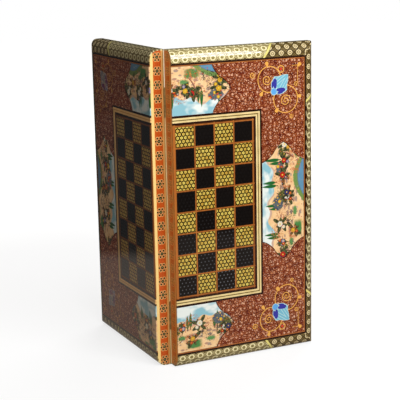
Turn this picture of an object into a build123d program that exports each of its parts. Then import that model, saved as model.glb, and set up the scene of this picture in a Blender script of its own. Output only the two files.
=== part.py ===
from build123d import *
import os

# Folding chess and backgammon case, standing on one end with its two trays opened square.
# Each tray is drawn in its own directions: X runs from the spine face to the free side (u),
# Y runs back from the playing face to the rim, so depth w below the rim is -Y, and Z is the
# length (v). The right tray keeps these directions. The left tray is its mirror across X = Y.

# Case
board_length = 500.0        # along the spine, which makes the open board square
half_width = 250.0          # spine face to free side
half_depth = 25.0           # rim to playing face
roundover = 15.5            # quarter round along the three outer edges of each face
face_veneer = 2.0           # marquetry and banding on the outside
spine_veneer = 2.0          # strips on the spine wall
panel_thickness = 5.0       # board under the playing face
rail_width = 14.0           # outer surface to inner wall
floor_veneer = 1.5          # backgammon floor
lining_thickness = 1.5      # strips on the inner walls
rim_banding = 1.0           # banding on the rim

# Playing face
square_pitch = 33.6
squares_along = 8
squares_across = 4
grid_setback = 3.0          # spine face to the middle of the first dividing line
lattice_line = 3.0          # width of the lines between squares
lattice_margin = 2.2        # outer dividing line, beyond its middle
frame_line = 2.5            # dark lines on both sides of the frame
frame_cream = 3.5           # each cream strip of the frame
frame_olive = 1.5           # line between the cream strips
border_at_ends = 20.8       # marquetry border as seen on the face, at both ends
border_at_side = 16.4       # the same along the free side
border_dark_line = 2.4
border_gold_line = 1.8
panel_point_length = 31.0   # pointed end of a painted panel
point_waist_back = 17.0     # where its outline turns, back from the tip
point_waist_half = 17.5     # half width there
outline_bow = 1.3           # how far its two curves bow, along each direction
half_panel_tip = 99.0       # tip of the two panels beside the spine, from the spine face
full_panel_half = 95.0      # middle to tip of the panel beside the free side

# Spine wall
rim_strip = 4.5
star_strip = 13.9

# Backgammon floor
points_per_end = 6
point_gap = 2.0             # between neighbouring points at their bases
point_length = 190.0

# Hinges
spine_gap = 0.1             # hinge axis to the spine face
rim_gap = 0.2               # hinge axis to the rim
hinge_length = 44.0
hinge_offset = 169.0        # middle of the case to the middle of a hinge
barrel_radius = 2.0
barrel_clearance = 0.15     # around the barrel, in the wood and beside the other leaf
pin_radius = 1.0
pin_clearance = 0.05
knuckles = 3
knuckle_gap = 0.3
pin_head_radius = 1.7
pin_head_height = 1.0
leaf_reach = 11.0           # leaf beyond the spine face
leaf_proud = 0.1            # leaf above the rim
leaf_clearance = 0.1
screw_radius = 1.1
screw_head_radius = 2.0
screw_head_height = 0.9
screw_length = 9.0
screw_spacing = 14.0
screw_clearance = 0.05
screw_slot = 0.5
screws_per_leaf = 3

# Clasp
clasp_line = 4.75           # rim to the middle line of the clasp
clasp_plate_width = 8.0
clasp_plate_length = 18.0
clasp_plate_thickness = 0.8
hook_thickness = 1.2
hook_gap = 0.2              # under the hook
hook_arm_width = 3.4
hook_end_radius = 3.2
hook_tail = 4.5             # finger tab beyond the jaw
hook_tail_width = 2.6
pivot_radius = 1.5
pivot_clearance = 0.05
pivot_eye_radius = 3.2
pivot_head_radius = 2.8
stud_radius = 1.3
stud_clearance = 0.3
stud_head_radius = 2.4
stud_head_height = 1.0
clasp_head_gap = 0.4        # over the hook, under the heads
clasp_shank = 8.0           # pivot and stud inside the rail

# Levels and lines that follow from the sizes above
core_depth = half_depth - face_veneer
panel_bottom = core_depth - panel_thickness
floor_level = panel_bottom - floor_veneer
grid_low = board_length / 2 - squares_along * square_pitch / 2
grid_high = board_length / 2 + squares_along * square_pitch / 2
grid_side = grid_setback + squares_across * square_pitch
frame_width = 2 * frame_line + 2 * frame_cream + frame_olive
frame_outside = lattice_margin + frame_width
line_width = border_dark_line + border_gold_line
field_at_ends = border_at_ends + line_width
field_at_side = border_at_side + line_width
clasp_height = (clasp_plate_thickness + hook_gap + hook_thickness + clasp_head_gap
                + stud_head_height)
hinge_heights = [board_length / 2 + hinge_offset, board_length / 2 - hinge_offset]
leaf_start = barrel_radius - spine_gap + barrel_clearance
head_rounding = 0.6         # of a head's height
through = 5.0               # how far a cutting body passes the surface that it cuts
towards_face = (0, -1, 0)


def slab(u0, u1, w0, w1, v0, v1):
    """Box between two distances from the spine, two depths below the rim and two heights."""
    middle = Pos((u0 + u1) / 2, -(w0 + w1) / 2, (v0 + v1) / 2)
    return middle * Box(u1 - u0, w1 - w0, v1 - v0)


def face_slab(u0, u1, v0, v1):
    """Piece of the outer veneer layer."""
    return slab(u0, u1, core_depth, half_depth, v0, v1)


def half_body(inset, start=0.0):
    """Outer form of a tray with its three rounded edges, drawn in by an inset."""
    far = half_width - inset
    block = slab(start, far, 0, half_depth - inset, inset, board_length - inset)
    end_edges = block.edges().filter_by(Axis.X).sort_by(Axis.Y)[:2]
    side_edge = block.edges().filter_by(Axis.Z).sort_by(lambda e: e.center().X - e.center().Y)[-1]
    ends_rounded = fillet(end_edges, roundover - inset)
    side_rounded = fillet(side_edge, roundover - inset)
    return ends_rounded & side_rounded


def mitre_wedges():
    """Bodies that hold what belongs to the top end and to the bottom end."""
    turn = board_length - half_width
    top = [(-through, turn - through), (-through, board_length + through),
           (half_width + through, board_length + through)]
    bottom = [(u, board_length - v) for u, v in top]
    wedges = []
    for corners in (top, bottom):
        outline = Plane.XZ * Polygon(*corners, align=None)
        wedges.append(extrude(outline, amount=half_depth + through, both=True))
    return wedges


def ring_around_grid(inner, outer):
    """Band on three sides of the squares, between two distances from the grid's outline."""
    whole = face_slab(0, grid_side + outer, grid_low - outer, grid_high + outer)
    return whole - face_slab(-through, grid_side + inner, grid_low - inner, grid_high + inner)


def ring_inside_border(outer_end, outer_side, width):
    """Line on three sides of the face, drawn in from the ends and from the free side."""
    whole = face_slab(0, half_width - outer_side, outer_end, board_length - outer_end)
    inner = outer_end + width
    return whole - face_slab(-through, half_width - outer_side - width, inner,
                             board_length - inner)


def panel_end(half_height):
    """Pointed end of a painted panel: flat base on the Z axis, tip towards +X."""
    corner = (0, half_height)
    waist = (panel_point_length - point_waist_back, point_waist_half)
    tip = (panel_point_length, 0)
    hollow = ((corner[0] + waist[0]) / 2 - outline_bow, (corner[1] + waist[1]) / 2 - outline_bow)
    swell = ((waist[0] + tip[0]) / 2 + outline_bow, (waist[1] + tip[1]) / 2 + outline_bow)
    upper = ThreePointArc(corner, hollow, waist) + ThreePointArc(waist, swell, tip)
    lower = mirror(upper, about=Plane.XZ)
    base = Line(corner, (0, -half_height))
    return make_face([*upper.edges(), *lower.edges(), base])


def painted_panels():
    """Two half panels beside the spine and a full one beside the free side, with their holes."""
    band = (board_length - field_at_ends) - (grid_high + frame_outside)
    base = half_panel_tip - panel_point_length
    outline = Pos(base, 0) * panel_end(band / 2) + Pos(base / 2, 0) * Rectangle(base, band)
    panels = []
    for centre in (grid_high + frame_outside + band / 2, grid_low - frame_outside - band / 2):
        panels.append(outline_to_veneer(Pos(0, centre) * outline))
    inside = grid_side + frame_outside
    across = half_width - field_at_side - inside
    straight = 2 * (full_panel_half - panel_point_length)
    end = Pos(0, straight / 2) * Rot(0, 0, 90) * panel_end(across / 2)
    full = Rectangle(across, straight) + end + mirror(end, about=Plane.XZ)
    panels.append(outline_to_veneer(Pos(inside + across / 2, board_length / 2) * full))
    return panels


def outline_to_veneer(outline):
    """Turn a flat outline in u and v into a piece of the outer veneer layer."""
    placed = Plane.XZ * outline
    return Pos(0, -core_depth, 0) * extrude(placed, amount=face_veneer, dir=towards_face)


def squares(dark_first):
    """Dark and light squares. dark_first says the top square beside the spine is dark."""
    dark, light = [], []
    for column in range(squares_across):
        for row in range(squares_along):
            u0 = grid_setback + column * square_pitch + lattice_line / 2
            v0 = grid_low + row * square_pitch + lattice_line / 2
            size = square_pitch - lattice_line
            piece = face_slab(u0, u0 + size, v0, v0 + size)
            from_top = squares_along - 1 - row
            is_dark = (from_top + column) % 2 == (0 if dark_first else 1)
            (dark if is_dark else light).append(piece)
    return dark, light


def playing_face(dark_first):
    """Everything in the outer veneer layer inside the marquetry border."""
    dark, light = squares(dark_first)
    lattice = face_slab(0, grid_side + lattice_margin, grid_low - lattice_margin,
                        grid_high + lattice_margin)
    for piece in dark + light:
        lattice -= piece
    bands, inner = [], lattice_margin
    for width in (frame_line, frame_cream, frame_olive, frame_cream, frame_line):
        bands.append(ring_around_grid(inner, inner + width))
        inner += width
    lines = [ring_inside_border(border_at_ends, border_at_side, border_dark_line),
             ring_inside_border(border_at_ends + border_dark_line,
                                border_at_side + border_dark_line, border_gold_line)]
    panels = painted_panels()
    field = face_slab(0, half_width - field_at_side, field_at_ends, board_length - field_at_ends)
    field -= face_slab(-through, grid_side + frame_outside, grid_low - frame_outside,
                       grid_high + frame_outside)
    for panel in panels:
        field -= panel
    return {"dark_squares": dark, "light_squares": light, "square_lattice": [lattice],
            "chess_frame": bands, "border_lines": lines, "painted_panels": panels,
            "field_veneer": field.solids()}


def carcass():
    """Rails, panel, border, spine strips and rim banding of one tray."""
    top_wedge, bottom_wedge = mitre_wedges()
    core = half_body(face_veneer, spine_veneer)
    inside = slab(rail_width, half_width - rail_width, -through, panel_bottom,
                  rail_width, board_length - rail_width)
    spine_zone = slab(-through, rail_width, -through, half_depth,
                      rail_width, board_length - rail_width)

    frame = (core & slab(0, half_width, rim_banding, panel_bottom, 0, board_length)) - inside
    outer_frame = frame - spine_zone
    banding = (core & slab(0, half_width, 0, rim_banding, 0, board_length)) - inside
    outer_banding = banding - spine_zone

    border = half_body(0.0) - half_body(face_veneer, -through)
    border -= face_slab(-through, half_width - border_at_side, border_at_ends,
                        board_length - border_at_ends)

    wall = half_body(face_veneer) & slab(0, spine_veneer, 0, half_depth, 0, board_length)
    star_start, star_end = rim_strip, rim_strip + star_strip
    edge = slab(-through, spine_veneer + through, 0, star_start, 0, board_length)
    star = slab(-through, spine_veneer + through, star_start, star_end, 0, board_length)
    pale = slab(-through, spine_veneer + through, star_end, half_depth, 0, board_length)

    return {
        "spine_rail": [frame & spine_zone],
        "top_rail": [outer_frame & top_wedge],
        "bottom_rail": [outer_frame & bottom_wedge],
        "front_rail": [outer_frame - top_wedge - bottom_wedge],
        "base_panel": [core & slab(0, half_width, panel_bottom, core_depth, 0, board_length)],
        "border_top": [border & top_wedge],
        "border_bottom": [border & bottom_wedge],
        "border_front": [border - top_wedge - bottom_wedge],
        "spine_edging": [wall & edge, wall & pale],
        "spine_star_strip": [wall & star],
        "rim_banding": [banding & spine_zone, outer_banding & top_wedge,
                        outer_banding & bottom_wedge,
                        outer_banding - top_wedge - bottom_wedge],
    }


def tray_inside(dark_first):
    """Backgammon floor with its points, and the strips that line the walls."""
    low, high = rail_width, board_length - rail_width
    near, far = rail_width, half_width - rail_width
    floor = slab(near, far, floor_level, panel_bottom, low, high)
    step = (far - near) / points_per_end
    dark, light = [], []
    for index in range(points_per_end):
        left = near + index * step + point_gap / 2
        right = left + step - point_gap
        tip = (left + right) / 2
        for end, base, direction in ((0, low, 1), (1, high, -1)):
            outline = Plane.XZ * Polygon((left, base), (right, base),
                                         (tip, base + direction * point_length), align=None)
            point = extrude(outline, amount=floor_veneer, dir=towards_face)
            point = Pos(0, -floor_level, 0) * point
            is_dark = (index + end) % 2 == (0 if dark_first else 1)
            (dark if is_dark else light).append(point)
            floor -= point
    t = lining_thickness
    lining = [slab(near, near + t, 0, floor_level, low, high),
              slab(far - t, far, 0, floor_level, low, high),
              slab(near + t, far - t, 0, floor_level, low, low + t),
              slab(near + t, far - t, 0, floor_level, high - t, high)]
    return {"inner_floor": [floor], "dark_points": dark, "light_points": light,
            "wall_lining": lining}


def upright(radius, height, u, w, v):
    """Cylinder along the case's length, from height v upwards."""
    return Pos(u, -w, v + height / 2) * Cylinder(radius, height)


def hinge_leaf(centre, owns_outer):
    """Leaf let into the rim, with its share of the knuckles around the axis."""
    low = centre - hinge_length / 2
    step = hinge_length / knuckles
    axis_u, axis_w = -spine_gap, -rim_gap
    plate = slab(leaf_start, leaf_reach, -leaf_proud, rim_banding, low, low + hinge_length)
    for index in range(knuckles):
        if (index % 2 == 0) != owns_outer:
            continue
        v0 = low + index * step + knuckle_gap / 2
        length = step - knuckle_gap
        plate += slab(axis_u, leaf_start, -leaf_proud, rim_banding, v0, v0 + length)
        plate += upright(barrel_radius, length, axis_u, axis_w, v0)
    plate -= upright(pin_radius + pin_clearance, hinge_length + 2 * through, axis_u, axis_w,
                     low - through)
    return plate


def hinge_recess(centre):
    """Room for a leaf in the rim, and for the barrel and the pin's heads at the corner."""
    low = centre - hinge_length / 2 - leaf_clearance
    length = hinge_length + 2 * leaf_clearance
    leaf = slab(-through, leaf_reach + leaf_clearance, -through, rim_banding, low, low + length)
    barrel = upright(barrel_radius + barrel_clearance, length + 2 * pin_head_height,
                     -spine_gap, -rim_gap, low - pin_head_height)
    return leaf + barrel


def screw_places():
    """Positions of the leaf screws, as distance from the spine and height."""
    across = (leaf_start + leaf_reach) / 2
    offsets = [(i - (screws_per_leaf - 1) / 2) * screw_spacing for i in range(screws_per_leaf)]
    return [(across, centre + offset) for centre in hinge_heights for offset in offsets]


def into_rim(shape, u, v):
    """Stand a shape drawn along +Z in the rim, its top just level with the hinge leaf."""
    return Pos(u, leaf_proud, v) * Rot(90, 0, 0) * shape


def screw(extra):
    """Countersunk wood screw with its head at z = 0 and its shank along +Z."""
    head = Pos(0, 0, screw_head_height / 2) * Cone(screw_head_radius + extra,
                                                   screw_radius + extra, screw_head_height)
    shank = Pos(0, 0, (screw_length + extra) / 2) * Cylinder(screw_radius + extra,
                                                             screw_length + extra)
    return head + shank


def slotted_screw():
    """Wood screw with the slot across its head."""
    slot = Box(2 * screw_head_radius + 1, screw_slot, screw_slot)
    return screw(0.0) - slot


def hinge_pin(centre):
    """Pin with a small head at each end of the barrel."""
    low = centre - hinge_length / 2
    pin = upright(pin_radius, hinge_length, -spine_gap, -rim_gap, low)
    for v0 in (low - pin_head_height, low + hinge_length):
        head = upright(pin_head_radius, pin_head_height, -spine_gap, -rim_gap, v0)
        outer = head.edges().filter_by(GeomType.CIRCLE).sort_by(Axis.Z)
        outer = outer[0] if v0 < centre else outer[-1]
        pin += fillet(outer, pin_head_height * head_rounding)
    return pin


def outward(radius, height, start, v):
    """Cylinder standing out of the free side on the clasp line, from a height above it."""
    place = Pos(half_width + start + height / 2, -clasp_line, v)
    return place * Rot(0, 90, 0) * Cylinder(radius, height)


def clasp_plate():
    """Small plate with rounded corners on the free side."""
    plate = slab(half_width, half_width + clasp_plate_thickness,
                 clasp_line - clasp_plate_width / 2, clasp_line + clasp_plate_width / 2,
                 board_length / 2 - clasp_plate_length / 2,
                 board_length / 2 + clasp_plate_length / 2)
    return fillet(plate.edges().filter_by(Axis.X), clasp_plate_width / 4)


def headed_stud(radius, head_radius):
    """Pivot or keeper: a shank in the rail, a neck at hook height and a domed head."""
    middle = board_length / 2
    neck = clasp_height - stud_head_height
    stud = outward(radius, clasp_shank + neck, -clasp_shank, middle)
    head = outward(head_radius, stud_head_height, neck, middle)
    rim = head.edges().filter_by(GeomType.CIRCLE).sort_by(Axis.X)[-1]
    return stud + fillet(rim, stud_head_height * head_rounding)


def hook_arm():
    """Hook that hangs from its pivot, with its jaw open towards the rim."""
    middle = board_length / 2
    reach = 2 * (clasp_line + rim_gap)
    start = clasp_plate_thickness + hook_gap
    u0, u1 = half_width + start, half_width + start + hook_thickness
    jaw = middle - reach
    arm = outward(pivot_eye_radius, hook_thickness, start, middle)
    arm += outward(hook_end_radius, hook_thickness, start, jaw)
    arm += slab(u0, u1, clasp_line - hook_arm_width / 2, clasp_line + hook_arm_width / 2,
                jaw, middle)
    tail = jaw - hook_end_radius - hook_tail
    arm += slab(u0, u1, clasp_line - hook_tail_width / 2, clasp_line + hook_tail_width / 2,
                tail, jaw)
    arm += outward(hook_tail_width / 2, hook_thickness, start, tail)
    bore = outward(pivot_radius + pivot_clearance, hook_thickness + 2 * through,
                   start - through, middle)
    seat = outward(stud_radius + stud_clearance, hook_thickness + 2 * through,
                   start - through, jaw)
    half_slot = stud_radius + stud_clearance
    mouth = slab(u0 - through, u1 + through, -through, clasp_line, jaw - half_slot,
                 jaw + half_slot)
    return arm - bore - seat - mouth


def tray(side):
    """All pieces of one tray as drawn in the right tray's directions, by node name."""
    dark_first = side == "left"
    pieces = carcass()
    pieces.update(playing_face(dark_first))
    pieces.update(tray_inside(dark_first))

    for centre in hinge_heights:
        recess = hinge_recess(centre)
        for name in ("rim_banding", "spine_edging", "spine_rail"):
            pieces[name][0] -= recess
    holes = [into_rim(screw(screw_clearance), u, v) for u, v in screw_places()]
    for hole in holes:
        pieces["spine_rail"][0] -= hole

    shank = stud_radius if side == "right" else pivot_radius
    drill = outward(shank, clasp_shank + through, -clasp_shank, board_length / 2)
    for name in ("front_rail", "border_front"):
        pieces[name][0] -= drill
    return {f"{side}_{name}": shapes for name, shapes in pieces.items()}, holes


def hardware(side, holes):
    """Hinge leaves, screws and clasp pieces of one side, in the right tray's directions."""
    pieces = {}
    for level, centre in zip(("upper", "lower"), hinge_heights):
        leaf = hinge_leaf(centre, side == "left")
        for hole in holes:
            leaf -= hole
        pieces[f"{level}_hinge_{side}_leaf"] = [leaf]
    pieces[f"{side}_hinge_screws"] = [into_rim(slotted_screw(), u, v) for u, v in screw_places()]
    radius = stud_radius if side == "right" else pivot_radius
    head = stud_head_radius if side == "right" else pivot_head_radius
    plate = clasp_plate() - outward(radius, clasp_plate_thickness + through, 0, board_length / 2)
    if side == "right":
        pieces["keeper_plate"] = [plate]
        pieces["keeper_stud"] = [headed_stud(radius, head)]
    else:
        pieces["hook_plate"] = [plate]
        pieces["hook_pivot"] = [headed_stud(radius, head)]
        pieces["clasp_hook"] = [hook_arm()]
    return pieces


def main():
    """Place both trays and the hinge pins, and write one file for each node."""
    to_axis = Pos(spine_gap, -rim_gap, 0)
    reach = spine_gap + half_width + clasp_height
    centre = (reach - rim_gap - half_depth) / 2
    to_origin = Pos(-centre, -centre, 0)
    swap = Plane(origin=(0, 0, 0), z_dir=(1, -1, 0))
    nodes = {}
    for side in ("left", "right"):
        pieces, holes = tray(side)
        pieces.update(hardware(side, holes))
        for name, shapes in pieces.items():
            placed = [to_axis * shape for shape in shapes]
            if side == "left":
                placed = [mirror(shape, about=swap) for shape in placed]
            nodes[name] = placed
    for level, height in zip(("upper", "lower"), hinge_heights):
        nodes[f"{level}_hinge_pin"] = [to_axis * hinge_pin(height)]

    os.makedirs("parts", exist_ok=True)
    for name, shapes in nodes.items():
        solids = [solid for shape in shapes for solid in (to_origin * shape).solids()]
        whole = solids[0] if len(solids) == 1 else Compound(children=solids)
        whole.label = name
        export_step(whole, f"parts/{name}.step")
    print(len(nodes), "nodes written")


main()
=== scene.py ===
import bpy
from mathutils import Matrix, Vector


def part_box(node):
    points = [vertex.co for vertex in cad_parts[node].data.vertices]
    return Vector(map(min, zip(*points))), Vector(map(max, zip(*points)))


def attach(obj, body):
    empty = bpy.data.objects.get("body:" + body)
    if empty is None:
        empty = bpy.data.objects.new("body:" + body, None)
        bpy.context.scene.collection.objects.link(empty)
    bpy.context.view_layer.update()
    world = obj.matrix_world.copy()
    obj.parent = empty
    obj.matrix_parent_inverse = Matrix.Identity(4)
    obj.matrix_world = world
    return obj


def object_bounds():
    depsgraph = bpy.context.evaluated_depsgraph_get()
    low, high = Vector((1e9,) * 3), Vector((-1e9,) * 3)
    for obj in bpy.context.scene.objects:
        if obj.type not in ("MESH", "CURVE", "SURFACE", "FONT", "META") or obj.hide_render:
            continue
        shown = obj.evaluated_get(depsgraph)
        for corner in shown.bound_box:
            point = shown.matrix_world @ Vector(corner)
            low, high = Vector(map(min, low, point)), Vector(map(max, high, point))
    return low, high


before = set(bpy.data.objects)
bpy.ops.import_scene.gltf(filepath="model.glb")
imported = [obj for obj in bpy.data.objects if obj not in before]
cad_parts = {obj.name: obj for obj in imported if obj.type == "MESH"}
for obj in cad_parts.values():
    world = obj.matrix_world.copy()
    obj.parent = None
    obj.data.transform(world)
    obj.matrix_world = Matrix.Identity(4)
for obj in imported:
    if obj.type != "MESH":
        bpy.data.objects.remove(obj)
cadBox = [list(corner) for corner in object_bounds()]

import math

import bmesh
import bpy
from mathutils import Euler, Matrix, Vector

print("frame loaded:", len(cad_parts), "pieces")

# Places read from the frame. Patterns are drawn in millimetres on each tray: u runs from the
# spine to the free side, w from the rim towards the playing face, v up the case.
mm = 1000.0
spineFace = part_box("right_spine_edging")[0].x
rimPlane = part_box("right_rim_banding")[1].y
caseHeight = (cadBox[1][2] - cadBox[0][2]) * mm
middle = caseHeight / 2
halfWidth = (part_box("right_border_front")[1].x - spineFace) * mm
halfDepth = (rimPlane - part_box("right_border_top")[0].y) * mm


def srgb(red, green, blue):
    # colour picked on a 0 to 255 scale, as the renderer wants it
    def straight(part):
        part /= 255
        return part / 12.92 if part <= 0.04045 else ((part + 0.055) / 1.055) ** 2.4
    return (straight(red), straight(green), straight(blue), 1.0)


# Shader expressions
class Wire:
    # a socket of a material; arithmetic on it adds Math nodes
    def __init__(self, finish, socket):
        self.finish = finish
        self.socket = socket

    def maths(self, operation, *others, clamp=False):
        settings = {"operation": operation, "use_clamp": clamp}
        return self.finish.node("Math", settings, dict(enumerate((self, *others))))

    def after(self, operation, other):
        return self.finish.node("Math", {"operation": operation}, {0: other, 1: self})

    def __add__(self, other):
        return self.maths("ADD", other)

    def __sub__(self, other):
        return self.maths("SUBTRACT", other)

    def __mul__(self, other):
        return self.maths("MULTIPLY", other)

    def __truediv__(self, other):
        return self.maths("DIVIDE", other)

    def __gt__(self, other):
        return self.maths("GREATER_THAN", other)

    def __lt__(self, other):
        return self.maths("LESS_THAN", other)

    def __rsub__(self, other):
        return self.after("SUBTRACT", other)

    def __rtruediv__(self, other):
        return self.after("DIVIDE", other)

    __radd__, __rmul__ = __add__, __mul__

    def __neg__(self):
        return self.maths("MULTIPLY", -1.0)

    def __abs__(self):
        return self.maths("ABSOLUTE")

    def floor(self):
        return self.maths("FLOOR")

    def fract(self):
        return self.maths("FRACT")

    def sine(self):
        return self.maths("SINE")

    def cosine(self):
        return self.maths("COSINE")

    def root(self):
        return self.maths("SQRT")

    def clamped(self):
        return self.maths("ADD", 0.0, clamp=True)

    def steeper(self, gain, drop=0.0):
        # more contrast, held between 0 and 1
        return (self * gain).maths("SUBTRACT", drop, clamp=True)

    def angle(self, across):
        return self.maths("ARCTAN2", across)

    def below(self, limit, soft=0.25):
        # 1 where the value is under a limit, with a soft step
        return ((limit - self) / soft).maths("ADD", 0.5, clamp=True)

    def within(self, low, high, soft=0.25):
        return self.below(high, soft) * (1.0 - self.below(low, soft))

    def around(self, centre, half, soft=0.25):
        return abs(self - centre).below(half, soft)


def lesser(one, other):
    return one.maths("MINIMUM", other)


def greater(one, other):
    return one.maths("MAXIMUM", other)


def distance(across, along):
    return (across * across + along * along).root()


def turned(across, along, degrees):
    cos, sin = math.cos(math.radians(degrees)), math.sin(math.radians(degrees))
    return across * cos + along * sin, along * cos - across * sin


lacquer = {
    "roughness": 0.03,          # of the clear coat
    "woodRoughness": 0.4,
    "density": 1.75,            # its refractive index
    "undercoatGloss": 0.15,
    "marks": 0.08,              # handling marks, as a change of roughness
    "relief": 0.0003,           # depth of the grain and inlay, in metres
    "reliefStrength": 0.15,
}


class Finish:
    # a material, or the world, under construction; its node method adds every node, and
    # takes a colour of its dictionary by name
    def __init__(self, name, look=None, owner=None):
        self.look = look
        self.owner = owner or bpy.data.materials.new(name)
        self.owner.use_nodes = True
        self.tree = self.owner.node_tree
        self.tree.nodes.clear()

    def node(self, kind, settings=None, inputs=None, take=0):
        made = self.tree.nodes.new("ShaderNode" + kind)
        for key, value in (settings or {}).items():
            if key == "stops":
                ramp = made.color_ramp
                ramp.interpolation = "CONSTANT"
                while len(ramp.elements) < len(value):
                    ramp.elements.new(0.5)
                for element, (place, colour) in zip(ramp.elements, value):
                    element.position, element.color = place, colour
            else:
                setattr(made, key, value)
        for key, value in (inputs or {}).items():
            if isinstance(value, Wire):
                self.tree.links.new(value.socket, made.inputs[key])
                continue
            named = isinstance(value, str)
            made.inputs[key].default_value = self.look[value] if named else value
        if take is None:
            return made
        if isinstance(take, tuple):
            return tuple(Wire(self, made.outputs[name]) for name in take)
        return Wire(self, made.outputs[take])

    def close(self, surface, output="OutputMaterial"):
        self.node(output, None, {"Surface": surface}, take=None)
        return self.owner

    def principled(self, inputs):
        return self.close(self.node("BsdfPrincipled", None, inputs))

    def mixed(self, share, one, other):
        # colour one where share is 0 and the other where it is 1
        return self.node("Mix", {"data_type": "RGBA"}, {0: share, 6: one, 7: other}, take=2)

    def layered(self, colour, *layers):
        # each layer covers what is below it where its mask is 1
        for mask, paint in layers:
            colour = self.mixed(mask, colour, paint)
        return colour

    def point(self, across, along, depth=0.0):
        return self.node("CombineXYZ", None, {0: across, 1: along, 2: depth})

    def split(self, vector):
        return self.node("SeparateXYZ", None, {0: vector}, take=("X", "Y", "Z"))

    def noise(self, place, scale, detail=2.0, rough=0.5):
        if isinstance(place, tuple):
            place = self.point(*place)
        inputs = {"Vector": place, "Scale": scale, "Detail": detail, "Roughness": rough}
        return self.node("TexNoise", None, inputs, take="Fac")

    def random(self, across, along, depth=0.0):
        # three random numbers for whole numbers
        place = self.point(across, along, depth)
        return self.split(self.node("TexWhiteNoise", None, {"Vector": place}, take="Color"))

    def scatter(self, across, along, loose=1.0):
        # nearest of many scattered points: offsets from it and three random numbers
        settings = {"voronoi_dimensions": "2D"}
        inputs = {"Vector": self.point(across, along), "Scale": 1.0, "Randomness": loose}
        colour, place = self.node("TexVoronoi", settings, inputs, take=("Color", "Position"))
        x, y, _ = self.split(place)
        return across - x, along - y, self.split(colour)

    def rays(self):
        # 1 for what the camera sees, for mirrored light and for light through glass
        names = ("Is Camera Ray", "Is Glossy Ray", "Is Transmission Ray")
        return self.node("LightPath", take=names)

    def place(self):
        return self.node("TexCoord", take="Object")

    def tray(self):
        # u, w and v in millimetres, and 1 on the left tray
        x, y, z = self.split(self.place())
        u = (greater(x, y) - spineFace) * mm
        w = (rimPlane - lesser(x, y)) * mm
        return u, w, z * mm, y > x

    def bump(self, height, strength, depth):
        inputs = {"Strength": strength, "Distance": depth, "Height": height}
        return self.node("Bump", None, inputs)

    def lacquered(self, colour, rough=lacquer["woodRoughness"], height=None,
                  strength=lacquer["reliefStrength"]):
        # wood with faint handling marks under a clear coat
        marks = self.noise(self.place(), 35.0, 4.0, 0.6) - 0.5
        inputs = {"Base Color": colour, "Roughness": rough + marks * lacquer["marks"],
                  "Coat Weight": 1.0, "Coat Roughness": lacquer["roughness"],
                  "Coat IOR": lacquer["density"],
                  "Specular IOR Level": lacquer["undercoatGloss"]}
        if height is not None:
            inputs["Normal"] = self.bump(height, strength, lacquer["relief"])
        return self.principled(inputs)

    def glowing(self, colour, rough, glow):
        return self.principled({"Base Color": colour, "Roughness": rough,
                                "Specular IOR Level": 0.0, "Emission Color": glow,
                                "Emission Strength": 1.0})


def hexCell(across, along, pitch):
    # offsets from the nearest centre of a honeycomb whose neighbours lie a pitch apart
    rise = pitch * math.sqrt(3)
    ax = (across / pitch).fract() * pitch - pitch / 2
    ay = (along / rise).fract() * rise - rise / 2
    bx = (across / pitch + 0.5).fract() * pitch - pitch / 2
    by = (along / rise + 0.5).fract() * rise - rise / 2
    first = distance(ax, ay) < distance(bx, by)
    return bx + first * (ax - bx), by + first * (ay - by)


def hexagon(x, y):
    # distance to the flats of a hexagon that stand at the sides
    return greater(abs(x), abs(x) * 0.5 + abs(y) * (math.sqrt(3) / 2))


def star(x, y):
    # distance measure of a six-pointed star with a point up
    side = abs(x) * (math.sqrt(3) / 2)
    return lesser(greater(-y, side + y * 0.5), greater(y, side - y * 0.5))


def petals(x, y, count, depth):
    # radius pulled in between petals
    angle = y.angle(x)
    return distance(x, y) * (1.0 + depth - (angle * count).cosine() * depth)


# The left tray's tones, which the photograph shows darker or browner: share of the change
# painted shade: each share moves that piece's colours on the left tray darker or browner,
# standing in for the shade the left face sits in
leftShadeTones = {
    "squares": 0.45,
    "lattice": 0.5,
    "frame": 0.6,
    "endBorder": 0.6,
    "sideBorder": 0.25,
    "goldScrolls": 0.45,
    "palmette": 0.68,
    "gardens": 0.12,
}


# Khatam squares
squareLook = {
    "pitch": 6.4,               # from star to star
    "starSize": 1.52,
    "eyeSize": 0.9,
    "cream": srgb(240, 220, 108),
    "amber": srgb(208, 156, 46),
    # painted shade: this brown is used only for the left tray's light squares
    "brown": srgb(206, 140, 84),
    "gap": srgb(44, 34, 2),
    "lightEye": srgb(168, 138, 62),
    "black": srgb(15, 10, 8),
    "blackStar": srgb(20, 16, 14),
    "darkEye": srgb(108, 110, 116),
    "setback": 3.0,             # of the first square from the spine
    "squarePitch": 33.6,
}


def squareCell(finish):
    look = squareLook
    u, _, v, left = finish.tray()
    column = ((u - look["setback"]) / look["squarePitch"]).floor()
    row = ((v - middle) / look["squarePitch"]).floor()
    shiftA, shiftB, tone = finish.random(column, row, left)
    x, y = hexCell(u + shiftA * look["pitch"], v + shiftB * look["pitch"], look["pitch"])
    return u, v, left, row, x, y, tone


def lightSquareFinish():
    look = squareLook
    finish = Finish("khatam_light", squareLook)
    u, v, left, _, x, y, tone = squareCell(finish)
    points = star(x, y).below(look["starSize"])
    bands = finish.noise((u, v * 1.4), 0.09, 3.0)
    rods = finish.noise((u - x, v - y), 0.23, 1.0)
    warm = (bands * 1.2 + rods * 1.8 - 1.2 + tone * 0.25).clamped()
    # painted shade: on the left tray the cream turns brown
    cream = finish.layered("cream", (warm, "amber"), (left * leftShadeTones["squares"], "brown"))
    eye = distance(x, y).below(look["eyeSize"])
    colour = finish.layered("gap", (points, cream), (eye, "lightEye"))
    return finish.lacquered(colour, height=points)


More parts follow.
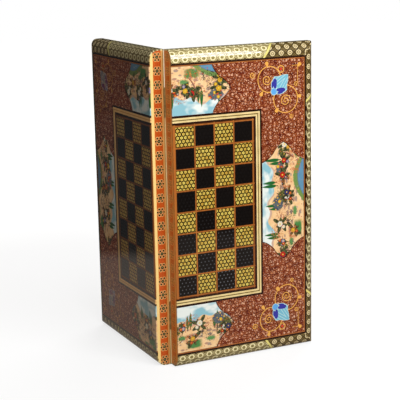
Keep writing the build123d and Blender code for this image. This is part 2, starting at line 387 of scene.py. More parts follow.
def darkSquareFinish():
    look = squareLook
    finish = Finish("khatam_dark", squareLook)
    _, _, _, row, x, y, tone = squareCell(finish)
    points = star(x, y).below(look["starSize"])
    # the eyes go from near black in the upper rows to grey in the lower rows
    low = ((tone - 0.5) * 0.4 - (row + 0.5) * 0.21).clamped()
    bright = finish.mixed(low, "blackStar", "darkEye")
    eye = distance(x, y).below(look["eyeSize"], 0.4)
    colour = finish.layered("black", (points, "blackStar"), (eye, bright))
    return finish.lacquered(colour, 0.35, height=points)


# Lines and frame
lineLook = {
    "orange": srgb(198, 120, 50),
    "orangeDeep": srgb(146, 78, 26),
    "dark": srgb(44, 16, 4),
    "gold": srgb(196, 122, 62),
    "cream": srgb(248, 226, 166),
    "creamShade": srgb(204, 174, 108),
    "olive": srgb(98, 74, 26),
    "oliveShade": srgb(142, 122, 60),
    "frameSteps": (5.3, 8.1, 9.8, 12.6),    # cream from, olive from, olive to, cream to
    "borderAtEnds": 20.8,       # width of the marquetry border
    "borderAtSide": 16.4,
    "darkLine": 2.8,
    # painted shade: the frame's colour on the left tray
    "leftBrown": srgb(244, 178, 108),
    "latticeHalf": 0.85,        # half the width of the orange between the squares
    "latticeEdge": 0.8,
    "plainBySpine": 1.1,
}


def fibre(finish, along, across, depth):
    # wood grain: long soft bands with fine streaks, from 0 to 1
    bands = finish.noise((along * 0.006, across * 0.22, depth * 0.22), 1.0, 3.0, 0.55)
    streaks = finish.noise((along * 0.03, across * 2.2, depth * 2.2), 1.0, 2.0)
    return bands * 0.75 + streaks * 0.25


def lineFinish():
    look = lineLook
    finish = Finish("dividing_lines", lineLook)
    u, w, v, left = finish.tray()
    grain = fibre(finish, v, u, w)
    # each line is orange between two dark edges
    start, pitch = squareLook["setback"], squareLook["squarePitch"]
    across = abs(((u - start) / pitch + 0.5).fract() - 0.5)
    along = abs(((v - middle) / pitch + 0.5).fract() - 0.5)
    edges = 1.0 - (lesser(across, along) * pitch).below(look["latticeHalf"], 0.5)
    edges = edges * look["latticeEdge"] * (u > start + look["plainBySpine"])
    # painted shade: the lattice on the left tray is mixed towards dark
    colour = finish.layered("orangeDeep", (grain.steeper(2.2, 0.6), "orange"),
                            (edges, "dark"), (left * leftShadeTones["lattice"], "dark"))
    return finish.lacquered(colour, 0.42)


def frameFinish():
    look = lineLook
    finish = Finish("frame_banding", lineLook)
    u, _, v, left = finish.tray()
    out = greater(u - squareLook["setback"], abs(v - middle)) - squareLook["squarePitch"] * 4
    first, second, third, last = look["frameSteps"]
    patches = finish.noise((u, v), 0.07, 3.0, 0.6)
    streaks = finish.noise((out * 1.6, (u + v) * 0.05), 1.0, 2.0)
    faded = (patches * 1.3 + streaks * 0.7 - 0.7).clamped()
    teeth = abs(((u + v) / 3.4).fract() - 0.5) * 2.0
    olive = finish.mixed(teeth.below(0.4, 0.3), "olive", "oliveShade")
    # painted shade: the frame on the left tray is moved towards a shaded brown
    colour = finish.layered("cream", (faded, "creamShade"),
                            (out.within(second, third, 0.3), olive),
                            (left * leftShadeTones["frame"], "leftBrown"))
    light = out.within(first, last, 0.3)
    colour = finish.mixed(light, "dark", colour)
    return finish.lacquered(colour, height=light)


def borderLineFinish():
    look = lineLook
    finish = Finish("border_lines", lineLook)
    u, w, v, _ = finish.tray()
    fromEnd = middle - abs(v - middle) - look["borderAtEnds"]
    fromSide = halfWidth - u - look["borderAtSide"]
    inward = lesser(fromEnd, fromSide)
    grain = fibre(finish, u + v, u - v, w)
    colour = finish.mixed(grain, "orangeDeep", "gold")
    colour = finish.mixed(inward.below(look["darkLine"], 0.2), colour, "dark")
    return finish.lacquered(colour)


# Marquetry border
borderLook = {
    "roundover": 15.5,          # radius of the rounded edge
    "pitch": 15.6,
    "rowPitch": 10.0,
    "rowShift": 4.2,
    # painted shade: the bottom border's pattern is darkened, so the top border reads lighter
    "bottomShadeDepth": 0.34,        # how far the pale pattern is darkened there
    "sideDepth": 0.72,
    "endZone": (158.0, 0.72),   # where the pattern changes, and the slant there
    "sideZone": (156.0, 0.75),
    "bandHalf": 2.0,
    "light": srgb(252, 240, 190),
    "lightShade": srgb(198, 184, 132),
    "darkShade": srgb(116, 94, 56),
    "olive": srgb(140, 126, 62),
    "darkOlive": srgb(74, 58, 28),
    "outline": srgb(122, 106, 54),
    "darkOutline": srgb(52, 34, 14),
    "ground": srgb(104, 86, 46),
    "groundShade": srgb(48, 34, 12),
    "ring": srgb(228, 208, 158),
    "eye": srgb(70, 52, 24),
    "thread": srgb(140, 118, 66),
    "band": srgb(234, 222, 132),
}


def aroundEdge(fromEdge, w, start):
    # way across the border from its inner line, over the rounded edge, down to the rim
    radius = borderLook["roundover"]
    flat = start - greater(fromEdge, radius)
    rise = greater(radius - fromEdge, 0.0)
    run = greater(w - (halfDepth - radius), 0.0)
    bend = rise.angle(run) * radius
    side = greater((halfDepth - radius) - w, 0.0)
    return flat + bend + side


def borderCells(along, across):
    look = borderLook
    place = (across - 0.5) / look["rowPitch"]
    y = place.fract() * look["rowPitch"] - look["rowPitch"] / 2
    shifted = (along + place.floor() * look["rowShift"]) / look["pitch"]
    x = shifted.fract() * look["pitch"] - look["pitch"] / 2
    return x, y


def lightRosettes(finish, along, across, depth):
    # cream rosettes with an olive middle, ringed by a thin line, and knots between them;
    # depth runs from the pale to the dark version
    # depth also carries the painted shade of the bottom border and of the left tray
    look = borderLook
    x, y = borderCells(along, across)
    rim = hexagon(y, x * 0.8)
    patches = finish.noise((along, across), 0.11, 2.0)
    between = finish.mixed(depth, "lightShade", "darkShade")
    line = finish.mixed(depth, "outline", "darkOutline")
    heart = finish.mixed(depth, "olive", "darkOlive")
    faded = (patches * 1.6 - 0.65 + depth * 0.6).clamped()
    ring = finish.mixed(faded, "light", "lightShade")
    knot = (abs(abs(x) - look["pitch"] / 2) * 0.7 + abs(abs(y) - 5.0) * 0.9).below(2.4, 0.5)
    centre = petals(x * 0.88, y, 6.0, 0.16)
    notch = (across + (look["pitch"] / 2 - abs(x)) * 0.9).below(2.4, 0.4)
    return finish.layered(between, (rim.below(4.4), ring), (rim.around(4.6, 0.35, 0.4), line),
                          (knot * 0.85, line), (centre.below(2.8, 0.6), heart),
                          (distance(x, y).below(0.7, 0.4), between), (notch, lineLook["dark"]))


def darkRosettes(finish, along, across):
    # cream discs on a brown ground between zigzag threads
    x, y = borderCells(along, across)
    rim = distance(x * 0.94, y)
    lozenge = abs(x) * 0.62 + abs(y) * 0.86
    return finish.layered("ground", (lozenge.around(5.3, 0.5, 0.4), "groundShade"),
                          (lozenge.around(6.4, 0.35, 0.3), "thread"),
                          (rim.below(4.7), "groundShade"), (rim.below(4.1), "ring"),
                          (rim.around(1.9, 0.45, 0.4), "eye"))


def zoneChange(finish, along, across, zone, one, other):
    # slanted pale band where one pattern gives way to the other
    look = borderLook
    here = along - look[zone][0] - across * look[zone][1]
    return finish.layered(other, (here.below(0.0, 0.2), one),
                          (here.around(0.0, look["bandHalf"] + 0.6, 0.3), "outline"),
                          (here.around(0.0, look["bandHalf"], 0.3), "band"))


def endBorderFinish():
    look = borderLook
    finish = Finish("khatam_border_ends", look)
    u, w, v, left = finish.tray()
    across = aroundEdge(middle - abs(v - middle), w, lineLook["borderAtEnds"])
    # painted shade: darker on the left tray and on the bottom border
    depth = greater(left * leftShadeTones["endBorder"], (v < middle) * look["bottomShadeDepth"])
    one = lightRosettes(finish, u, across, depth)
    other = darkRosettes(finish, u + 6.0, across)
    return finish.lacquered(zoneChange(finish, u, across, "endZone", one, other))


def sideBorderFinish():
    finish = Finish("khatam_border_side", borderLook)
    u, w, v, left = finish.tray()
    across = aroundEdge(halfWidth - u, w, lineLook["borderAtSide"])
    away = abs(v - middle)
    # painted shade: the side border is darker on the left tray
    depth = borderLook["sideDepth"] + left * leftShadeTones["sideBorder"]
    one = lightRosettes(finish, v, across - 1.0, depth)
    other = darkRosettes(finish, away, across)
    return finish.lacquered(zoneChange(finish, away, across, "sideZone", one, other))


# Spine
spineLook = {
    "peachStrip": 7.5,          # from the rim
    "rosetteMiddle": 11.45,
    "rosetteHalf": 7.1,
    "stripHalf": 6.4,
    # first rosette of each length of the strip, their pitch, and how many came before
    "lengths": ((9.5, 21.1, 0), (94.0, 22.18, 4), (404.5, 21.0, 18)),
    "pale": srgb(255, 236, 160),
    "paleShade": srgb(250, 200, 120),
    "peach": srgb(254, 202, 130),
    "peachShade": srgb(212, 148, 80),
    # painted shade and orange bounce light on the right tray's spine wall
    "rightEdge": srgb(248, 162, 66),
    # painted shade of the groove by the rim
    "rimLine": srgb(104, 64, 28),
    # painted orange bounce light on the right tray's spine wall, in two tones
    "rightGround": srgb(255, 140, 40),
    "rightPatch": srgb(255, 176, 66),
    "ground": srgb(222, 98, 26),
    "groundShade": srgb(182, 66, 12),
    "groundFlame": srgb(216, 128, 48),
    "petal": srgb(246, 196, 122),
    "petalShade": srgb(232, 154, 82),
    "dot": srgb(44, 22, 6),
    "eye": srgb(140, 140, 84),
    "edge": srgb(222, 158, 58),
}


def spineEdgingFinish():
    look = spineLook
    finish = Finish("spine_edging", spineLook)
    u, w, v, left = finish.tray()
    grain = fibre(finish, v, w, u)
    tone, right = grain.steeper(1.8, 0.5), 1.0 - left
    # on the right tray the pale strip takes painted shade and orange bounce light
    pale = finish.layered("paleShade", (tone, "pale"),
                          (right * 0.8, "rightEdge"))
    peach = finish.layered("peachShade", (tone, "peach"),
                           # painted shade of the groove by the rim, then a painted highlight on
                           # the rim edge
                           (w.below(1.8, 0.4) * 0.75, "rimLine"),
                           (w.below(1.0, 0.3), "pale"),
                           # painted shade and orange bounce light on the right tray
                           (right * 0.7, "rightGround"))
    colour = finish.mixed(w.below(look["peachStrip"], 0.2), pale, peach)
    return finish.lacquered(colour, height=grain, strength=0.05)


def spineStarFinish():
    look = spineLook
    finish = Finish("spine_rosettes", spineLook)
    _, w, v, left = finish.tray()
    counts = [(v - start) / pitch + before for start, pitch, before in look["lengths"]]
    count = greater(lesser(counts[0], counts[1]), counts[2])
    y = ((count + 0.5).fract() - 0.5) * look["lengths"][1][1]
    x = w - look["rosetteMiddle"]
    bricks = finish.noise((w, v * 0.35), 0.9, 3.0, 0.6)
    flames = finish.noise((w * 1.4, v * 0.12), 1.0, 3.0, 0.7)
    ground = finish.layered("groundShade", (bricks.steeper(2.4, 0.8), "ground"),
                            (flames.steeper(3.0, 1.5), "groundFlame"))
    petal = finish.mixed(bricks.steeper(3.0, 1.2), "petal", "petalShade")
    angle, radius, right = y.angle(x), distance(x, y), 1.0 - left
    sixth = math.pi / 3
    folded = ((angle / sixth + 0.5).fract() - 0.5) * sixth
    gaps = abs(abs(folded) - sixth / 2) * radius
    gaps = gaps.below(0.5, 0.3) * radius.within(3.2, 7.4)
    dots = distance(folded.cosine() * radius - 5.4, folded.sine() * radius)
    heart = radius * (1.25 - (angle * 6.0).cosine() * 0.25)
    # blotches varying along the strip, for the painted bounce light on the right tray's wall
    faded = (bricks * 4.4 - 1.9 + (y * 0.28).cosine() * 0.3).clamped()
    colour = finish.layered(
        ground, (hexagon(y, x).below(look["rosetteHalf"]), petal), (gaps, "groundShade"),
        (dots.below(1.6, 0.4), "dot"), (heart.below(3.4, 0.4), "dot"),
        (radius.below(1.0, 0.4), "eye"),
        (1.0 - abs(x).below(look["stripHalf"], 0.3), "edge"),
        # painted orange bounce light and brighter blotches on the right tray's wall
        (right * 0.35, "rightGround"), (right * faded * 0.45, "rightPatch"))
    return finish.lacquered(colour)


# Painted field
fieldLook = {
    "ground": srgb(118, 38, 16),
    "groundDeep": srgb(74, 18, 6),
    "scroll": srgb(200, 114, 60),
    "blossom": srgb(255, 208, 176),
    "bud": srgb(226, 148, 100),
    "leaf": srgb(160, 72, 38),
    "spiralPitch": 2.6,
    "cell": 7.8,                # one small scroll in each
    "budCell": 3.6,
    "leftShift": 311.0,         # so that the trays don't mirror each other
    "gold": srgb(252, 196, 98),
    "goldShade": srgb(222, 150, 58),
    "red": srgb(214, 66, 34),
    "sky": srgb(120, 190, 214),
    "skyLight": srgb(186, 222, 226),
    "ball": srgb(96, 170, 236),
    "blue": srgb(54, 56, 160),
}

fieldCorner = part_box("right_field_veneer")[1]
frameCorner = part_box("right_chess_frame")[1]
panelLook = {
    "halfTip": 99.0,            # of the panels at the spine, from the spine
    "fullHalf": 95.0,           # of the panel at the side, from its middle to a tip
    "point": 31.0,              # length of a pointed end
    "waistBack": 17.0,          # where its two curves meet
    "waistHalf": 17.5,
    "bow": 1.3,
    "fieldEnd": fieldCorner.z * mm - middle,
    "fieldStart": frameCorner.z * mm - middle,
    "fieldSide": (fieldCorner.x - spineFace) * mm,
    "sideStart": (frameCorner.x - spineFace) * mm,
    "besideFrom": 119.0,        # past this the full panel's outline takes over
}


def circleThrough(one, two, three):
    # centre and radius of the circle through three points
    (ax, ay), (bx, by), (cx, cy) = one, two, three
    turn = 2 * (ax * (by - cy) + bx * (cy - ay) + cx * (ay - by))
    a, b, c = ax * ax + ay * ay, bx * bx + by * by, cx * cx + cy * cy
    x = (a * (by - cy) + b * (cy - ay) + c * (ay - by)) / turn
    y = (a * (cx - bx) + b * (ax - cx) + c * (bx - ax)) / turn
    return x, y, math.hypot(ax - x, ay - y)


def pointedEdge(x, y, halfHeight):
    # distance outside the outline of a panel's pointed end; y is its height above the axis
    look = panelLook
    corner, tip = Vector((0.0, halfHeight)), Vector((look["point"], 0.0))
    waist = Vector((look["point"] - look["waistBack"], look["waistHalf"]))
    bow = Vector((look["bow"], look["bow"]))
    cx, cy, radius = circleThrough(corner, (corner + waist) / 2 - bow, waist)
    upper = radius - distance(x - cx, y - cy)
    cx, cy, radius = circleThrough(waist, (waist + tip) / 2 + bow, tip)
    lower = distance(x - cx, y - cy) - radius
    ends = lower + (y > look["waistHalf"]) * (upper - lower)
    straight = y - halfHeight
    edge = ends + (x < 0.0) * (straight - ends)
    return greater(greater(edge, straight), x - look["point"])


def panelOutline(u, v):
    look = panelLook
    away = abs(v - middle)
    band = look["fieldEnd"] - look["fieldStart"]
    half = pointedEdge(u - (look["halfTip"] - look["point"]),
                       abs(away - look["fieldStart"] - band / 2), band / 2)
    across = look["fieldSide"] - look["sideStart"]
    full = pointedEdge(away - (look["fullHalf"] - look["point"]),
                       abs(u - look["sideStart"] - across / 2), across / 2)
    beside = u > look["besideFrom"]
    return half + beside * (full - half)


cornerLook = {
    # centre, radius, turn pitch and hand: the large rings, then the curls
    "rings": ((167.5, 195.0, 20.2), (196.6, 162.5, 21.6), (188.2, 210.0, 5.2)),
    "curls": ((163.0, 194.5, 8.6, 4.4, 1.0), (196.2, 160.0, 9.6, 4.6, -1.0),
              (137.7, 203.6, 5.2, 3.2, 1.0), (215.2, 184.7, 4.2, 2.8, -1.0),
              (206.6, 134.9, 3.8, 2.6, 1.0)),
    "line": 0.72,
    "buds": ((153.4, 173.6, 240.0), (163.3, 219.0, 100.0), (221.0, 215.0, 45.0),
             (180.6, 146.0, 230.0), (220.6, 165.6, 350.0)),
    "palmette": (188.0, 188.0),
}


def spiralLine(x, y, radius, pitch, hand):
    # distance to an inward spiral, and the distance from its middle
    angle = y.angle(x) / (2 * math.pi)
    out = distance(x, y)
    turn = ((radius - out) / pitch + angle * hand).fract()
    return lesser(turn, 1.0 - turn) * pitch, out


def cornerScrolls(u, away):
    # 1 on the gold rings, curls, stems and buds
    look = cornerLook
    line = look["line"]
    stem = (abs(away - 212.0 - (u - 194.0) * 0.12) * 1.2 + greater(208.0 - u, 0.0)).below(0.5)
    gold = greater(stem * u.within(194.0, 221.0),
                   u.around(218.2, 0.45) * away.within(189.0, 214.0))
    for cu, cv, radius in look["rings"]:
        gold = greater(gold, distance(u - cu, away - cv).around(radius, line, 0.4))
    for cu, cv, radius, pitch, hand in look["curls"]:
        near, out = spiralLine(u - cu, away - cv, radius, pitch, hand)
        gold = greater(gold, near.below(line * 0.9, 0.4) * out.below(radius))
    for cu, cv, heading in look["buds"]:
        x, y = turned(u - cu, away - cv, heading)
        bud = distance(x * 0.56, y * (1.15 - (x * 0.25 + 0.5).clamped() * 0.5))
        gold = greater(gold, bud.below(2.3, 0.4))
    return gold


def palmette(finish, colour, u, away):
    # blue palmette that points towards the corner of the case
    cu, cv = cornerLook["palmette"]
    x, y = turned(u - cu, away - cv, 45.0)
    side = abs(y)
    heart = lesser((17.6 - x) * 0.84 - (x * 0.35).sine() * 0.8, (x + 13.0) * 1.25) - side
    px, py = turned(x + 7.6, side - 7.4, 47.0)
    petal = 9.4 - distance(px, py * (2.5 - (px * 0.2).clamped() * 0.5))
    px, py = turned(x + 11.6, side - 9.4, 40.0)
    petal = greater(petal, 6.6 - distance(px, py * 2.8))
    ball = 5.0 - distance(x + 17.6, y)
    whole = greater(greater(heart, petal), ball)
    colour = finish.mixed((whole + 0.9).below(0.0, 0.3), "skyLight", colour)
    rays = abs((side / 4.2 + x * 0.05).fract() - 0.5)
    blue = finish.mixed(rays.below(0.12, 0.1), "sky", "skyLight")
    return finish.layered(colour, ((-heart).below(0.0, 0.3), blue),
                          ((-ball).below(0.0, 0.3), "ball"),
                          ((0.7 - petal).below(0.0, 0.3), "skyLight"),
                          ((1.3 - petal).below(0.0, 0.3), "blue"))


def fieldFinish():
    look = fieldLook
    finish = Finish("painted_field", fieldLook)
    u, _, v, left = finish.tray()
    away = abs(v - middle)
    flat = u + left * look["leftShift"]
    soft = finish.noise((flat, v), 0.05, 3.0, 0.6)
    colour = finish.mixed(soft.steeper(1.8, 0.4), "groundDeep", "ground")
    # small spiral scrolls with a blossom in each
    cell = look["cell"]
    x, y, (one, two, three) = finish.scatter(flat / cell, v / cell, 0.75)
    x, y = x * cell, y * cell
    hand = (one > 0.5) * 2.0 - 1.0
    angle = y.angle(x) / (2 * math.pi)
    out = distance(x, y)
    turn = (out / look["spiralPitch"] + angle * hand + two).fract()
    line = (abs(turn - 0.5) * look["spiralPitch"]).below(0.36, 0.35) * out.below(5.0, 1.5)
    bloom = finish.mixed(two, "bud", "blossom")
    flower = (1.2 + three * 0.9 - petals(x, y, 5.0, 0.3)).steeper(3.0)
    colour = finish.layered(colour, (line * 0.85, "scroll"), (flower, bloom),
                            (out.below(0.5), "groundDeep"))
    # leaves and buds between them
    cell = look["budCell"]
    x, y, (one, two, three) = finish.scatter(flat / cell + 40.0, v / cell, 0.95)
    x, y = x * cell, y * cell
    bud = distance(x * (0.7 + one * 0.8), y * (1.5 - one * 0.8)).below(0.3 + two * 0.6, 0.3)
    tone = finish.mixed(three, "leaf", "blossom")
    # painted shade: the gold scrolls are faded on the left tray
    gold = cornerScrolls(u, away) * (1.0 - left * leftShadeTones["goldScrolls"])
    shine = finish.noise((flat, v), 0.4, 2.0)
    cu, cv, _ = cornerLook["rings"][2]
    blossom = petals(u - cu, away - cv, 5.0, 0.2).below(2.6, 0.4)
    colour = finish.layered(
        colour, (bud, tone), (gold, finish.mixed(shine, "goldShade", "gold")),
        (blossom, "red"))
    rim = abs(panelOutline(u, v)).below(0.55, 0.3)
    # painted shade: the palmette is faded on the left tray
    shown = 1.0 - left * leftShadeTones["palmette"]
    colour = finish.layered(colour, (shown, palmette(finish, colour, u, away)),
                            (rim, lineLook["dark"]))
    return finish.lacquered(colour, 0.42)


# Painted garden panels
gardenLook = {
    "meadow": srgb(255, 222, 172),
    "meadowShade": srgb(236, 186, 128),
    "sky": srgb(144, 196, 210),
    "cloud": srgb(236, 244, 240),
    "farHill": srgb(176, 152, 160),
    "cypress": srgb(14, 74, 36),
    "cypressLight": srgb(48, 124, 56),
    "trunk": srgb(104, 58, 30),
    "rust": srgb(196, 108, 62),
    "bark": srgb(40, 30, 24),
    "foliage": srgb(34, 38, 30),
    "foliageLight": srgb(112, 116, 62),
    "foliageBlue": srgb(104, 120, 140),
    "grass": srgb(96, 146, 84),
    "cypressWidth": 7.8,
    "turfShift": 1.0,
    "bankShade": srgb(134, 146, 70),
    "water": srgb(70, 122, 164),
    "waterLight": srgb(118, 166, 190),
    "rock": srgb(178, 124, 104),
    "rockShade": srgb(132, 122, 124),
    "heart": srgb(238, 200, 70),
    "blossoms": ((0.0, srgb(196, 34, 24)), (0.2, srgb(226, 176, 44)), (0.36, srgb(56, 52, 104)),
                 (0.5, srgb(244, 234, 212)), (0.7, srgb(206, 88, 44)),
                 (0.86, srgb(150, 140, 176))),
    "skyline": 52.0,
    "skylineBeside": 61.0,
    "shifts": (57.0, 431.0, 173.0),     # of the planting: start, left tray, lower panel
}


def blossomColour(finish, number):
    settings = {"stops": gardenLook["blossoms"]}
    return finish.node("ValToRGB", settings, {"Fac": number}, take="Color")


def plantRow(finish, along, height, period, base, jitter, seed):
    # a row of plants: offsets from the foot of the nearest one and its random numbers
    place = along / period
    number = place.floor()
    one, two, three = finish.random(number, seed)
    x = (place - number - 0.5 - (one - 0.5) * 0.36) * period
    return x, height - base - (two - 0.5) * jitter, (one, two, three)


def cypress(finish, colour, x, y, tall):
    look = gardenLook
    share = y / tall
    profile = greater(share, 0.0).root() * (1.0 - share) * look["cypressWidth"]
    stripe = finish.noise((x * 2.5, y * 0.3), 1.0, 1.0)
    leaf = finish.mixed(stripe.steeper(3.0, 1.0), "cypress", "cypressLight")
    stem = abs(x).below(0.7) * y.within(-3.5, 1.0)
    return finish.layered(colour, (stem, "trunk"),
                          ((profile - abs(x)).steeper(2.0), leaf))


def roses(finish, colour, x, y, cell, size, tint, spread, seed):
    # large roses scattered over what is below them; tint picks their main colour
    dx, dy, (one, two, _) = finish.scatter(x / cell + seed * 5.0, y / cell, 0.7)
    dx, dy = dx * cell, dy * cell
    bloom = petals(dx, dy, 5.0, 0.18)
    reach = size * (0.35 + two)
    petal = blossomColour(finish, (tint + (one - 0.5) * spread).fract())
    return finish.layered(colour, ((reach - bloom).steeper(2.5), petal),
                          (distance(dx, dy).below(reach * 0.3, 0.4), "heart"))


def bush(finish, colour, x, y, crown, seed, numbers):
    # dark leaves with large roses, on a short bent stem
    one, two, three = numbers
    bend = (y * 0.3 + one * 6.0).sine() * 1.0
    stem = abs(x - bend).below(0.7) * y.within(-crown * 1.3, 0.0)
    rough = finish.noise((x + seed * 19.0, y), 0.33, 3.0, 0.7)
    size = crown * (0.7 + two * 0.55)
    body = distance(x * (0.7 + three * 0.5), y * (1.25 - three * 0.4))
    inside = (body + (rough - 0.5) * 11.0 - size).below(0.0, 0.6)
    leaf = finish.layered("foliage", (rough.steeper(3.2, 1.2), "foliageLight"),
                          ((one > 0.72) * rough, "foliageBlue"))
    leaf = roses(finish, leaf, x, y, 6.6, 2.9, three, 0.34, seed)
    return finish.layered(colour, (stem, "trunk"), (inside, leaf))


def bareShrub(finish, colour, x, y, reach, seed, numbers):
    # a tangle of thin twigs, black or rust brown
    one, two, three = numbers
    tangle = finish.noise((x + seed * 31.0, y * 0.8 - x * 0.3), 0.3, 2.0, 0.6)
    inside = distance(x * (0.55 + two * 0.4), y * 1.15).below(reach * (0.7 + one * 0.5), 1.5)
    thick = finish.noise((x, y + seed * 17.0), 0.25, 1.0) * 0.09
    twigs = (abs(tangle - 0.5) - thick + 0.02).below(0.0, 0.02)
    tone = finish.mixed(three > 0.5, "bark", "rust")
    return finish.mixed(twigs * inside, colour, tone)


def peony(finish, colour, x, y, size, seed, numbers):
    # spiky dark leaves round one large blossom and a smaller one beside it
    one, two, three = numbers
    x, y = turned(x, y, 20.0 * seed)
    stretch = distance(x * (0.62 + three * 0.3), y)
    angle = y.angle(x)
    spikes = ((angle * 7.0 + one * 6.0).sine() + (angle * 4.0 + two * 9.0).sine()) * 0.22
    leaf = (stretch - size * 1.7 * (1.0 + spikes * 1.5)).below(0.0, 0.7)
    shade = finish.noise((x + seed * 13.0, y), 0.3, 2.0, 0.6)
    green = finish.mixed(shade.steeper(4.0, 1.7), "foliage", "foliageLight")
    colour = finish.mixed(leaf, colour, green)
    for dx, dy, reach, tint in ((x - 1.0, y - size * 0.3, size, one),
                                (x + size * 1.1, y + size * 0.5, size * 0.6, two)):
        ruffle = petals(dx, dy, 7.0, 0.09)
        petal = blossomColour(finish, tint)
        deep = finish.mixed(0.45, petal, "foliage")
        rings = abs((ruffle / (size * 0.42) + 0.35).fract() - 0.5) * 2.0
        petal = finish.mixed(rings.below(0.35, 0.4) * 0.8, petal, deep)
        heart = distance(dx, dy).below(reach * 0.25, 0.4)
        colour = finish.layered(colour, (ruffle.below(reach, 0.5), petal),
                                (heart, "heart"))
    return colour


def bentTree(finish, colour, x, y, tall, seed, _):
    # leaning trunk with three puffs of leaves
    lean = x - y * 0.35 - (y * 0.16).sine() * 3.0
    stem = y.within(-2.0, tall)
    colour = finish.layered(colour, (abs(lean).below(1.5) * stem, "rock"),
                            (abs(lean + 0.7).below(0.6) * stem, "trunk"))
    rough = finish.noise((x, y + 7.0), 0.3, 3.0, 0.7)
    crown = None
    for cx, cy, reach in ((3.0, 16.0, 5.5), (9.5, 21.0, 6.5), (13.5, 13.5, 4.5)):
        puff = distance(x - cx, (y - cy) * 1.35) - reach
        crown = puff if crown is None else lesser(crown, puff)
    leaf = finish.mixed(rough.steeper(3.4, 1.2), "foliage", "foliageLight")
    leaf = roses(finish, leaf, x, y, 3.4, 1.0, 0.25, 0.3, seed)
    return finish.mixed((crown + (rough - 0.5) * 8.0).below(0.0, 0.6), colour, leaf)


def gardenGround(finish, along, height, skyline):
    look = gardenLook
    wash = finish.noise((along, height), 0.07, 4.0, 0.6)
    meadow = finish.mixed(wash.steeper(2.4, 0.7), "meadow", "meadowShade")
    clouds = finish.noise((along * 0.7, height), 0.05, 2.0, 0.6)
    sky = finish.mixed(clouds.steeper(7.0, 3.1), "sky", "cloud")
    ridge = height - (skyline + (along * 0.07).sine() * 5.0 + (along * 0.19).sine() * 3.4)
    farHills = ridge.around(-2.0, 1.6, 0.8) * (clouds > 0.45) * 0.6
    # rocks, tufts and turf
    dx, dy, (one, two, _) = finish.scatter(along / 11.0, height / 8.0)
    stone = distance(dx * 9.0, dy * 13.0) + (wash - 0.5) * 6.0
    stone = stone.below(1.2 + one * 2.4, 1.4) * (height < 48.0)
    rock = finish.mixed(two, "rock", "rockShade")
    dx, dy, _ = finish.scatter(along / 41.0, height / 34.0, 0.9)
    strokes = finish.noise((along * 1.2, height * 0.25), 0.5, 2.0, 0.7)
    tuft = (distance(dx * 24.0, dy * 44.0) + strokes * 7.0).below(8.0, 2.0) * (height < 30.0)
    turf = (height - 12.0 - strokes * 12.0).below(0.0, 3.0) * height.within(5.0, 60.0, 3.0)
    turf = turf * ((along * 0.075 + look["turfShift"]).sine() - 0.45).clamped() * 2.6
    green = finish.mixed(strokes, "cypressLight", "grass")
    # a stretch of stream with a grassy bank
    blades = finish.noise((along * 0.9, height * 0.3), 0.6, 3.0, 0.7)
    shore = height - (along * 0.03 + 2.276).cosine() * 28.0 + blades * 5.0 + 5.9
    bank = finish.mixed(blades.steeper(3.0, 1.0), "grass", "bankShade")
    ripple = finish.noise((along * 0.2, height * 1.4), 0.6, 2.0)
    water = finish.mixed(ripple, "water", "waterLight")
    return finish.layered(
        sky, (ridge.below(0.0), meadow), (farHills, "farHill"), (stone * 0.8, rock),
        (tuft, "grass"), (turf.clamped(), green), (shore.below(0.0, 0.8), bank),
        ((shore + 7.4).below(0.0, 0.5), "foliageBlue"),
        ((shore + 8.6).below(0.0, 0.5), water))


plantRows = (
    # kind, shift, spacing, height of the foot and its spread, draw, size, pattern shift
    (bareShrub, 9.0, 31.0, 38.0, 24.0, 5.0, 13.0, 1.0),
    (bush, 19.0, 57.0, 46.0, 12.0, 11.0, 10.0, 1.0),
    (bentTree, 25.0, 71.0, 22.0, 6.0, 31.0, 19.0, 4.0),
    (peony, 12.0, 43.0, 40.0, 24.0, 19.0, 5.2, 1.0),
    (peony, 4.0, 59.0, 26.0, 20.0, 23.0, 4.4, 2.0),
    (bareShrub, 2.0, 27.0, 22.0, 20.0, 43.0, 12.0, 3.0),
)


def gardenFinish():
    place, look = panelLook, gardenLook
    finish = Finish("painted_gardens", gardenLook)
    u, _, v, left = finish.tray()
    away = abs(v - middle)
    beside = u > place["besideFrom"]
    atEnds = place["fieldEnd"] - away
    height = atEnds + beside * (place["fieldSide"] - u - atEnds)
    start, onLeft, below = look["shifts"]
    along = u + beside * (v - u) + start + left * onLeft + (1.0 - beside) * (v < middle) * below
    skyline = look["skyline"] + beside * (look["skylineBeside"] - look["skyline"])
    colour = gardenGround(finish, along, height, skyline)
    # plants, from the back to the front
    x, y, numbers = plantRow(finish, along, height - skyline, 39.0, -12.0, 8.0, 3.0)
    colour = cypress(finish, colour, x - 2.6, y, 22.0 + numbers[2] * 8.0)
    colour = cypress(finish, colour, x + 2.8, y + 1.5, 20.0 + numbers[1] * 8.0)
    for kind, shift, period, base, jitter, rowSeed, size, seed in plantRows:
        x, y, numbers = plantRow(finish, along + shift, height, period, base, jitter, rowSeed)
        colour = kind(finish, colour, x, y, size, seed, numbers)
    # small flowers in the meadow
    dx, dy, (one, two, three) = finish.scatter(along / 7.0 + 90.0, height / 7.0)
    bloom = petals(dx * 7.0, dy * 7.0, 5.0, 0.25).below(0.5 + one * 0.7, 0.3)
    bloom = bloom * (height < 46.0) * (two > 0.5)
    edge = abs(panelOutline(u, v)).below(0.5, 0.3)
    # painted shade: the left tray's panels are mixed a little towards dark brown
    colour = finish.layered(colour, (bloom, blossomColour(finish, three)),
                            (left * leftShadeTones["gardens"], "trunk"), (edge, lineLook["dark"]))
    return finish.lacquered(colour, 0.42)


